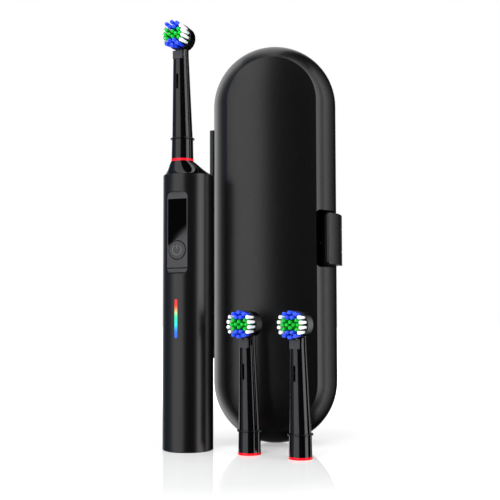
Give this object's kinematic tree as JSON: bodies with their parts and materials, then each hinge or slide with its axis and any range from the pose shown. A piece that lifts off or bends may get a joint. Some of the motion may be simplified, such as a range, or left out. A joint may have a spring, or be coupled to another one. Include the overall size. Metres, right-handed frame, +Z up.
{
  "type": "rechargeable toothbrush set",
  "caption": "Rechargeable rotating-head toothbrush standing beside its hinged travel case, with spare brush heads.",
  "frame": {"origin": "centre of the handle's foot, at the mouth of its charging well, on the surface that the set stands on", "axes": "+Z up along the handle's axis; the travel case faces -Y and stands behind the handle and the spare heads"},
  "size_m": [0.1021, 0.09, 0.243],
  "materials": {
    "matte_black": "fine matte black ABS",
    "gloss_black": "gloss black ABS",
    "window_black": "smoked acrylic",
    "button_black": "gloss black ABS",
    "head_black": "satin black polypropylene",
    "head_grey": "dark grey POM",
    "ring_red": "red polypropylene",
    "white_nylon": "white nylon bristle",
    "green_nylon": "green nylon bristle",
    "blue_nylon": "blue nylon bristle",
    "light_guide": "clear polycarbonate, lit in colours",
    "case_black": "satin black ABS",
    "tray_black": "matte black polypropylene",
    "steel": "turned stainless steel",
    "can_steel": "zinc-plated steel",
    "copper": "enamelled copper wire",
    "brass": "turned brass",
    "seal_rubber": "black silicone rubber",
    "board_green": "glass-epoxy board",
    "chip_black": "moulded epoxy",
    "frame_white": "natural acetal",
    "cell_wrap": "heat-shrink sleeve"
  },
  "bodies": {
    "handle": {"handle_shell": "matte_black", "shoulder_cap": "gloss_black", "shaft_bush": "brass", "shaft_seal": "seal_rubber", "foot_cap": "matte_black", "foot_seal": "seal_rubber", "charging_coil": "copper", "chassis": "frame_white", "chassis_screws": "can_steel", "battery_cell": "cell_wrap", "battery_tabs": "can_steel", "main_board": "board_green", "board_parts": "chip_black", "tact_switch": "chip_black", "control_panel": "gloss_black", "display_window": "window_black", "display_module": "chip_black", "light_bar": "light_guide", "motor_can": "can_steel", "motor_bearings": "steel", "motor_coil": "copper"},
    "power_button": {"power_button": "button_black"},
    "motor_rotor": {"motor_rotor": "steel", "motor_pinion": "brass"},
    "drive_shaft": {"drive_shaft": "steel", "sector_gear": "frame_white"},
    "head": {"head_neck": "head_black", "head_ring": "ring_red", "head_tab": "head_grey", "head_pin": "steel"},
    "head_link": {"head_link": "frame_white"},
    "head_disc": {"head_disc": "head_black", "head_white_tufts": "white_nylon", "head_green_tufts": "green_nylon", "head_blue_tufts": "blue_nylon"},
    "spare_a": {"spare_a_neck": "head_black", "spare_a_ring": "ring_red", "spare_a_tab": "head_grey", "spare_a_pin": "steel"},
    "spare_a_link": {"spare_a_link": "frame_white"},
    "spare_a_disc": {"spare_a_disc": "head_black", "spare_a_white_tufts": "white_nylon", "spare_a_green_tufts": "green_nylon", "spare_a_blue_tufts": "blue_nylon"},
    "spare_b": {"spare_b_neck": "head_black", "spare_b_ring": "ring_red", "spare_b_tab": "head_grey", "spare_b_pin": "steel"},
    "spare_b_link": {"spare_b_link": "frame_white"},
    "spare_b_disc": {"spare_b_disc": "head_black", "spare_b_white_tufts": "white_nylon", "spare_b_green_tufts": "green_nylon", "spare_b_blue_tufts": "blue_nylon"},
    "case": {"case_front": "case_black", "hinge_pin": "steel"},
    "case_back": {"case_rear": "case_black", "case_tray": "tray_black", "latch_pin": "steel"},
    "latch": {"case_latch": "case_black"}
  },
  "joints": [
    {"name": "button_press", "type": "slide", "parent": "handle", "child": "power_button", "axis": [0.309, 0.9511, 0], "range_m": [0, 0.0004], "stiffness_N_per_m": 800},
    {"name": "motor_swing", "type": "hinge", "parent": "handle", "child": "motor_rotor", "pos_m": [0.00102, 0.00314, 0.13], "axis": [0, 0, 1], "range_deg": [-50, 50]},
    {"name": "shaft_swing", "type": "hinge", "parent": "handle", "child": "drive_shaft", "pos_m": [-0.00222, -0.00685, 0.164], "axis": [0, 0, 1], "range_deg": [-25, 25]},
    {"name": "head_pull", "type": "slide", "parent": "handle", "child": "head", "axis": [0, 0, 1], "range_m": [0, 0.03]},
    {"name": "head_link_swing", "type": "hinge", "parent": "head", "child": "head_link", "pos_m": [-0.00222, -0.00685, 0.204], "axis": [0, 0, 1], "range_deg": [-25, 25]},
    {"name": "head_disc_swing", "type": "hinge", "parent": "head", "child": "head_disc", "pos_m": [-0.00222, -0.00685, 0.2354], "axis": [-0.309, -0.9511, 0], "range_deg": [-20, 20]},
    {"name": "spare_a_lift", "type": "slide", "parent": "handle", "child": "spare_a", "axis": [0, 0, 1], "range_m": [0, 0.1]},
    {"name": "spare_a_link_swing", "type": "hinge", "parent": "spare_a", "child": "spare_a_link", "pos_m": [0.037, -0.0138, 0.04], "axis": [0, 0, 1], "range_deg": [-25, 25]},
    {"name": "spare_a_disc_swing", "type": "hinge", "parent": "spare_a", "child": "spare_a_disc", "pos_m": [0.037, -0.0138, 0.0714], "axis": [-0.4226, -0.9063, 0], "range_deg": [-20, 20]},
    {"name": "spare_b_lift", "type": "slide", "parent": "handle", "child": "spare_b", "axis": [0, 0, 1], "range_m": [0, 0.1]},
    {"name": "spare_b_link_swing", "type": "hinge", "parent": "spare_b", "child": "spare_b_link", "pos_m": [0.0659, -0.0264, 0.04], "axis": [0, 0, 1], "range_deg": [-25, 25]},
    {"name": "spare_b_disc_swing", "type": "hinge", "parent": "spare_b", "child": "spare_b_disc", "pos_m": [0.0659, -0.0264, 0.0714], "axis": [-0.4226, -0.9063, 0], "range_deg": [-20, 20]},
    {"name": "case_lift", "type": "slide", "parent": "handle", "child": "case", "axis": [0, 0, 1], "range_m": [0, 0.1]},
    {"name": "case_open", "type": "hinge", "parent": "case", "child": "case_back", "pos_m": [0.0097, 0.0323, 0.1195], "axis": [0, 0, 1], "range_deg": [0, 170]},
    {"name": "latch_open", "type": "hinge", "parent": "case_back", "child": "latch", "pos_m": [0.0859, 0.0369, 0.12075], "axis": [0, 0, 1], "range_deg": [0, 75]}
  ],
  "couplings": [
    {"joint": "shaft_swing", "follows": "motor_swing", "ratio": -0.5},
    {"joint": "head_link_swing", "follows": "motor_swing", "ratio": -0.5},
    {"joint": "head_disc_swing", "follows": "motor_swing", "ratio": -0.4},
    {"joint": "spare_a_disc_swing", "follows": "spare_a_link_swing", "ratio": 0.8},
    {"joint": "spare_b_disc_swing", "follows": "spare_b_link_swing", "ratio": 0.8}
  ]
}
